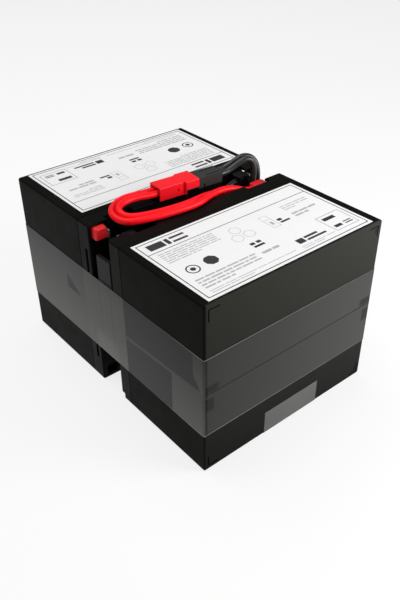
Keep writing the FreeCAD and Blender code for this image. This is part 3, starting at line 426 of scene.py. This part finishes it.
def ink(name, dark, light):
    """Printed ink, a little uneven."""
    made, shader, place = material(name)
    patch = noise(made, place, 900.0, 4.0, 0.7)
    link(made, ramp(made, patch, [(0.3, dark), (0.75, light)]), shader.inputs["Base Color"])
    spread(made, patch, 0.35, 0.5, shader, "Roughness")
    return made


ink_black = ink("ink_black", (0.012, 0.012, 0.013), (0.03, 0.03, 0.032))
ink_grey = ink("ink_grey", (0.36, 0.36, 0.37), (0.5, 0.5, 0.51))

LABEL_LONG = 138.4
LABEL_WIDE = 73.8
LABEL_LEFT = -HALF_LONG + 5.5
LABEL_LOW = -HALF_DEEP + 2.4
LABEL_TOP = 130.45
PRINT_UP = LABEL_TOP + 0.03
BORDER_IN = 2.0     # from the edge of the label to its printed border
BORDER_WIDE = 0.65
DASH_GAP = 0.9
DASH_LEAST = 1.2


def start_mesh(kind, **values):
    """Add a simple shape and return it."""
    bpy.ops.object.select_all(action="DESELECT")
    kind(**values)
    return bpy.context.active_object


def join(pieces, name):
    """Make one mesh of several pieces."""
    bpy.ops.object.select_all(action="DESELECT")
    for piece in pieces:
        piece.select_set(True)
    bpy.context.view_layer.objects.active = pieces[0]
    bpy.ops.object.join()
    whole = bpy.context.active_object
    whole.name = name
    whole.data.name = name
    return whole


def settle(piece, finish):
    """Apply the place of a finished piece, give it its finish and let it ride."""
    bpy.ops.object.select_all(action="DESELECT")
    piece.select_set(True)
    bpy.context.view_layer.objects.active = piece
    bpy.ops.object.transform_apply(location=True, rotation=True, scale=True)
    piece.data.materials.clear()
    piece.data.materials.append(finish)
    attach(piece, "root")
    return piece


def bar(left, low, right, high):
    """A printed bar, in millimetres from the label's lower left corner."""
    piece = start_mesh(bpy.ops.mesh.primitive_plane_add, size=1.0,
                       location=((left + right) / 2, (low + high) / 2, 0.0))
    piece.scale = (right - left, high - low, 1.0)
    return piece


def bars(*places):
    """Several printed bars."""
    return [bar(*place) for place in places]


def text_rows(left, top, long, rows, pitch, tall, seed, word=(2.0, 9.0)):
    """Rows of grey dashes of uneven length, in place of small print."""
    dice = random.Random(seed)
    dashes = []
    for row in range(rows):
        at = left
        end = left + long * (1.0 if row < rows - 1 else dice.uniform(0.45, 0.8))
        low = top - row * pitch - tall
        while at < end - DASH_LEAST:
            reach = min(at + dice.uniform(*word), end)
            dashes.append(bar(at, low, reach, low + tall))
            at = reach + DASH_GAP
    return dashes


def disc(x, y, radius, sides, turn=0.0):
    """A printed disc with straight sides."""
    piece = start_mesh(bpy.ops.mesh.primitive_circle_add, vertices=sides, radius=radius,
                       fill_type="NGON", location=(x, y, 0.0))
    piece.rotation_euler.z = turn
    return piece


def ring(x, y, radius, width, sides=40):
    """A printed ring."""
    piece = disc(x, y, radius, sides)
    bpy.ops.object.mode_set(mode="EDIT")
    bpy.ops.mesh.select_all(action="SELECT")
    bpy.ops.mesh.inset(thickness=width)
    bpy.ops.mesh.delete(type="FACE")
    bpy.ops.object.mode_set(mode="OBJECT")
    return piece


def frame_line(left, low, right, high, width):
    """The outline of a box."""
    return bars((left, low, right, low + width), (left, high - width, right, high),
                (left, low + width, left + width, high - width),
                (right - width, low + width, right, high - width))


def black_print():
    """Border, header rule, blocks and simple signs in black."""
    inside = BORDER_IN + BORDER_WIDE
    pieces = frame_line(BORDER_IN, BORDER_IN, LABEL_LONG - BORDER_IN, LABEL_WIDE - BORDER_IN,
                        BORDER_WIDE)
    pieces += bars((inside, 58.3, LABEL_LONG - inside, 58.85),
                   (7.0, 61.6, 19.0, 68.4), (20.4, 61.6, 23.2, 68.4),
                   (24.6, 61.6, 36.0, 63.6), (24.6, 66.4, 36.0, 68.4))
    pieces += [ring(14.0, 30.5, 4.6, 0.9), disc(14.0, 30.5, 2.0, 6),
               disc(28.5, 31.5, 5.0, 8, math.radians(22.5))]
    pieces += frame_line(112.0, 6.5, 133.0, 26.0, 0.3)
    pieces += bars((114.5, 19.6, 125.0, 23.0), (114.5, 9.6, 121.0, 12.4),
                   (123.5, 9.6, 130.5, 10.6), (123.5, 11.8, 130.5, 12.8),
                   (82.0, 10.0, 88.0, 15.2), (89.4, 10.0, 106.0, 11.8),
                   (89.4, 13.2, 101.0, 15.2), (58.0, 24.4, 66.5, 26.4),
                   (58.0, 27.8, 61.5, 30.4), (63.0, 27.8, 66.5, 30.4),
                   (92.5, 36.4, 100.5, 38.2), (92.5, 39.4, 96.2, 42.0))
    return pieces


def grey_print():
    """Small print and thin line figures in grey."""
    pieces = text_rows(7.0, 55.6, 42.0, 6, 2.2, 0.8, 3)
    pieces += text_rows(7.0, 20.5, 46.0, 4, 3.0, 1.3, 5)
    pieces += text_rows(7.0, 7.2, 68.0, 2, 1.9, 0.55, 7, (6.0, 20.0))
    pieces += text_rows(80.0, 7.2, 30.0, 2, 1.9, 0.55, 11, (6.0, 14.0))
    pieces += text_rows(106.0, 52.6, 24.0, 3, 2.4, 0.8, 13)
    pieces += text_rows(106.0, 41.6, 22.0, 2, 3.4, 1.8, 17)
    pieces += text_rows(57.0, 18.5, 20.0, 1, 3.0, 2.2, 19)
    for turn in range(3):
        angle = math.radians(90 + 120 * turn)
        pieces.append(ring(62.3 + 5.6 * math.cos(angle), 42.5 + 5.6 * math.sin(angle),
                           4.4, 0.35, 6))
    pieces += frame_line(84.0, 34.5, 90.5, 50.5, 0.35)
    pieces += bars((84.35, 45.0, 90.15, 45.35), (86.2, 38.0, 88.3, 42.0))
    return pieces


def print_label(name, make, finish, stack):
    """Lay a print on the label of a stack; the rear one is turned half round."""
    whole = join(make(), name)
    bpy.ops.object.transform_apply(location=True, rotation=True, scale=True)
    turned_round = stack == "rear"
    corner = Vector((LABEL_LEFT, LABEL_LOW, 0.0)) * (-MM if turned_round else MM)
    whole.location = corner + Vector((0.0, 0.0, PRINT_UP * MM))
    whole.rotation_euler.z = math.pi if turned_round else 0.0
    whole.scale = (MM, MM, MM)
    return settle(whole, finish)


for stack in ("front", "rear"):
    print_label(stack + "_label_black_print", black_print, ink_black, stack)
    print_label(stack + "_label_grey_print", grey_print, ink_grey, stack)


# Clear film, with its places in metres

BAND_LOW, BAND_HIGH = 0.0322, 0.0924    # just inside the cut edges of the band
CUT_EDGE = 0.0002
TURN = (0.0746, 0.0751)                 # where the band comes round onto the narrow sides
ROUND_LONG, ROUND_DEEP = 0.0745, 0.104  # axes of the round edges of the case
ROUND_FOOT = 0.00125
SKIN = (0.00110, 0.00115)               # between the inner and the outer skin
PALEST = (1.0, 1.0, 0.95)

# Across the narrow sides
JARS_BEHIND = (0.0235, 0.0245)
ACROSS_LIDS = (-0.0242, -0.0236, 0.0235, 0.0245)
ACROSS_GAP = (-0.0150, -0.0120, 0.0110, 0.0140)
ACROSS_WRINKLE = (0.0290, 0.0305, 0.0475, 0.0485)
FRONT_CORNER = (-0.0700, -0.0735)
CLING_FROM = (-0.0735, -0.0726)
CLING_TO = (-0.0242, -0.0254)

# Up the film
UPPER_JARS = (0.0650, 0.0654)
ABOVE_SEAM = (0.0648, 0.0654)
DRAPE_UP = (0.078, 0.0655)
SEAM_LINE = 0.0608
SEAM_UP = (0.0642, 0.0647, 0.0655, 0.0660)
BELOW_SEAM = (0.0628, 0.0632, 0.0639, 0.0643)
GROOVE_ABOVE, GROOVE_BELOW = 0.0688, 0.0568
WRINKLE_SLOPE = 0.647
WRINKLE_EDGE = (0.0462, 0.0454)


def start_film(name):
    """Clear film whose colour says how much light its haze throws back."""
    made, shader, place = material(name)
    shader.inputs["Specular IOR Level"].default_value = 0.15
    cloud = noise(made, place, 11.0, 2.0, 0.45)
    spread(made, cloud, 0.3, 0.4, shader, "Roughness")
    bump(made, cloud, shader, 0.0004)
    return made, shader, place, cloud


def haze(made, shader, thrown, alpha, first, second):
    """Throw back a share of the light from the outer skin and cover as much as alpha says.

    The outer skin lies further from the axis of the case's round edges than the inner one.
    """
    sides = [maths(made, "POWER", maths(made, "MAXIMUM", side), 2.0)
             for side in (first, second)]
    skin = rise(made, maths(made, "SQRT", plus(made, *sides)), *SKIN)
    link(made, both(made, skin, alpha), shader.inputs["Alpha"])
    share = maths(made, "DIVIDE", thrown, alpha)
    link(made, ramp(made, share, [(0.0, 0.0), (1.0, PALEST)]), shader.inputs["Base Color"])


def narrow_tone(made, place, x, y, z):
    """Narrow sides of the band: paler downwards, darker where it clings to the jars."""
    near = rise(made, maths(made, "MULTIPLY", x, -1.0), *TURN)
    upper = rise(made, z, *UPPER_JARS)
    drape = both(made, rise(made, z, *DRAPE_UP), 0.007)
    wave = both(made, noise(made, place, 26.0, 2.0), 0.0015)
    edge = plus(made, y, wave, both(made, upper, plus(made, drape, 0.0215)))
    cling = both(made, near, rise(made, y, *CLING_TO), rise(made, edge, *CLING_FROM))
    frontal = both(made, near, rise(made, y, *FRONT_CORNER), slanted(made, cling, -1.0, 1.0))
    tone = plus(made, 1.0, both(made, frontal, -0.15), both(made, frontal, upper, 0.19),
                both(made, cling, -0.80))
    narrow = both(made, slanted(made, z, -5.16, 0.5715), tone)

    # Wrinkle over the rear stack, light line over the seam, and the part across the gap
    slope = plus(made, z, both(made, y, -WRINKLE_SLOPE))
    wrinkle = both(made, near, window(made, y, *ACROSS_WRINKLE), rise(made, z, *ABOVE_SEAM),
                   rise(made, slope, *WRINKLE_EDGE))
    along = size_of(made, plus(made, z, both(made, y, 0.05), -SEAM_LINE))
    hung = both(made, near, window(made, y, *ACROSS_GAP))
    threads = noise(made, place, 1.0, 3.0, 0.6, stretch=(300.0, 300.0, 6.0))
    over_lids = both(made, near, window(made, y, *ACROSS_LIDS))
    return plus(made, narrow, both(made, wrinkle, -0.22),
                both(made, cling, rise(made, along, 0.0020, 0.0006), 0.14),
                both(made, hung, plus(made, threads, -0.5), 0.13),
                both(made, hung, rise(made, z, 0.052, 0.040), 0.10),
                both(made, over_lids, rise(made, z, 0.054, 0.086), 0.085))


def broad_tone(made, x, z):
    """Broad sides of the band: painted light makes them paler away from the near end; painted
    shade lies over the seam, the grooves and the rounded near corner, with a painted highlight
    just below the seam.
    """
    seam = window(made, z, *SEAM_UP)
    highlight_below_seam = window(made, z, *BELOW_SEAM)
    ends = size_of(made, x)
    above_off = size_of(made, plus(made, z, -GROOVE_ABOVE))
    below_off = size_of(made, plus(made, z, -GROOVE_BELOW))
    lying = both(made, rise(made, ends, 0.0625, 0.0660), rise(made, above_off, 0.0034, 0.0020))
    upright = both(made, rise(made, ends, 0.0672, 0.0690), rise(made, below_off, 0.0060, 0.0040))
    groove_shade = plus(made, lying, upright)
    # Painted light, paler away from the near end, with painted shade over the seam and the
    # grooves.
    broad = both(made, slanted(made, x, 0.576, 0.122), slanted(made, seam, -0.8, 1.0),
                 slanted(made, groove_shade, -0.8, 1.0))
    # Painted highlight just below the seam, and painted shade along the rounded near corner.
    return plus(made, broad, both(made, highlight_below_seam, 0.022),
                both(made, rise(made, x, -0.0722, -0.0736), -0.067))


def band_finish():
    """The wound band: hazy on the jars, clearer across the gap, with painted light and shade in
    its tone.
    """
    made, shader, place, cloud = start_film("band_film")
    x, y, z = axes(made, place)
    narrow = narrow_tone(made, place, x, y, z)
    broad = broad_tone(made, x, z)
    side = rise(made, size_of(made, x), *TURN)

    # Painted highlight along the cut edges of the film, strongest towards the near front corner
    rim = plus(made, rise(made, z, BAND_HIGH, BAND_HIGH + CUT_EDGE),
               rise(made, z, BAND_LOW, BAND_LOW - CUT_EDGE))
    edge_highlight = both(made, rim, rise(made, y, -0.0500, -0.1000), rise(made, x, 0.16, -0.07))
    pale = plus(made, broad, both(made, side, plus(made, narrow, both(made, broad, -1.0))),
                both(made, plus(made, cloud, -0.5), 0.05), both(made, edge_highlight, 0.85))

    backed = rise(made, size_of(made, y), *JARS_BEHIND)
    thrown = plus(made, both(made, pale, slanted(made, backed, -0.0855, 0.34)),
                  both(made, backed, -0.0026), 0.006)
    haze(made, shader, thrown, slanted(made, backed, 0.2, 0.7),
         plus(made, size_of(made, x), -ROUND_LONG),
         plus(made, size_of(made, y), -ROUND_DEEP))
    return made


def strap_finish():
    """The strap under the base, paler than the band."""
    made, shader, place, cloud = start_film("strap_film")
    _, y, z = axes(made, place)
    thrown = plus(made, 0.098, both(made, plus(made, cloud, -0.5), 0.024),
                  both(made, z, 0.57))
    haze(made, shader, thrown, 0.85, plus(made, size_of(made, y), -ROUND_DEEP),
         slanted(made, z, -1.0, ROUND_FOOT))
    return made


dress("film_band", band_finish())
dress("base_strap", strap_finish())


# Room: pale floor, white surroundings, soft lamps

FLOOR_WIDE = 8.0
FLOOR_GLOW = 0.78   # share of the floor's look that is even white
ROOM_LIGHT = 0.25
WHITE = (1.0, 1.0, 1.0, 1.0)


def mixed(made, share, first, second, end):
    """Blend two shaders and lead them to the end of the tree."""
    blend = node(made, "ShaderNodeMixShader")
    link(made, share, blend.inputs["Fac"])
    link(made, first, blend.inputs[1])
    link(made, second, blend.inputs[2])
    link(made, blend.outputs["Shader"], made.node_tree.nodes[end].inputs["Surface"])


def floor_finish():
    """A matt floor that looks nearly even white."""
    made, shader, _ = material("room_floor")
    shader.inputs["Base Color"].default_value = (0.86, 0.86, 0.86, 1.0)
    shader.inputs["Roughness"].default_value = 0.9
    shader.inputs["Specular IOR Level"].default_value = 0.1
    glow = node(made, "ShaderNodeEmission")
    glow.inputs["Strength"].default_value = 1.0
    rays = node(made, "ShaderNodeLightPath")
    seen = maths(made, "MAXIMUM", rays.outputs["Is Camera Ray"],
                 maths(made, "MAXIMUM", rays.outputs["Is Glossy Ray"],
                       rays.outputs["Is Transmission Ray"]))
    mixed(made, both(made, seen, FLOOR_GLOW), shader.outputs["BSDF"],
          glow.outputs["Emission"], "Material Output")
    return made


def room_light():
    """Soft light from all around; the room itself looks white."""
    world = bpy.data.worlds.new("room")
    world.use_nodes = True
    back = world.node_tree.nodes["Background"]
    white = node(world, "ShaderNodeBackground")
    for lit, strength in ((back, ROOM_LIGHT), (white, 1.0)):
        lit.inputs["Color"].default_value = WHITE
        lit.inputs["Strength"].default_value = strength
    rays = node(world, "ShaderNodeLightPath")
    mixed(world, rays.outputs["Is Camera Ray"], back.outputs["Background"],
          white.outputs["Background"], "World Output")
    return world


def lamp(name, place, target, wide, power):
    """A square soft lamp that points at a target."""
    data = bpy.data.lights.new(name, "AREA")
    data.shape = "RECTANGLE"
    data.size = wide
    data.size_y = wide
    data.energy = power
    made = bpy.data.objects.new(name, data)
    scene.collection.objects.link(made)
    made.location = place
    aim = Vector(target) - Vector(place)
    made.rotation_mode = "QUATERNION"
    made.rotation_quaternion = aim.to_track_quat("-Z", "Y")


floor = start_mesh(bpy.ops.mesh.primitive_plane_add, size=FLOOR_WIDE, location=(0.0, 0.0, 0.0))
floor.name = "floor"
floor.data.materials.append(floor_finish())
scene.world = room_light()
lamp("key_lamp", (0.40, -0.52, 0.31), (0.07, -0.10, 0.09), 0.4, 4.5)
lamp("top_lamp", (-0.15, 0.35, 1.3), (0.0, 0.0, 0.1), 1.2, 12.5)
lamp("fill_lamp", (-1.0, -0.2, 0.5), (0.0, 0.0, 0.06), 0.7, 0.5)

scene.view_settings.view_transform = "Standard"
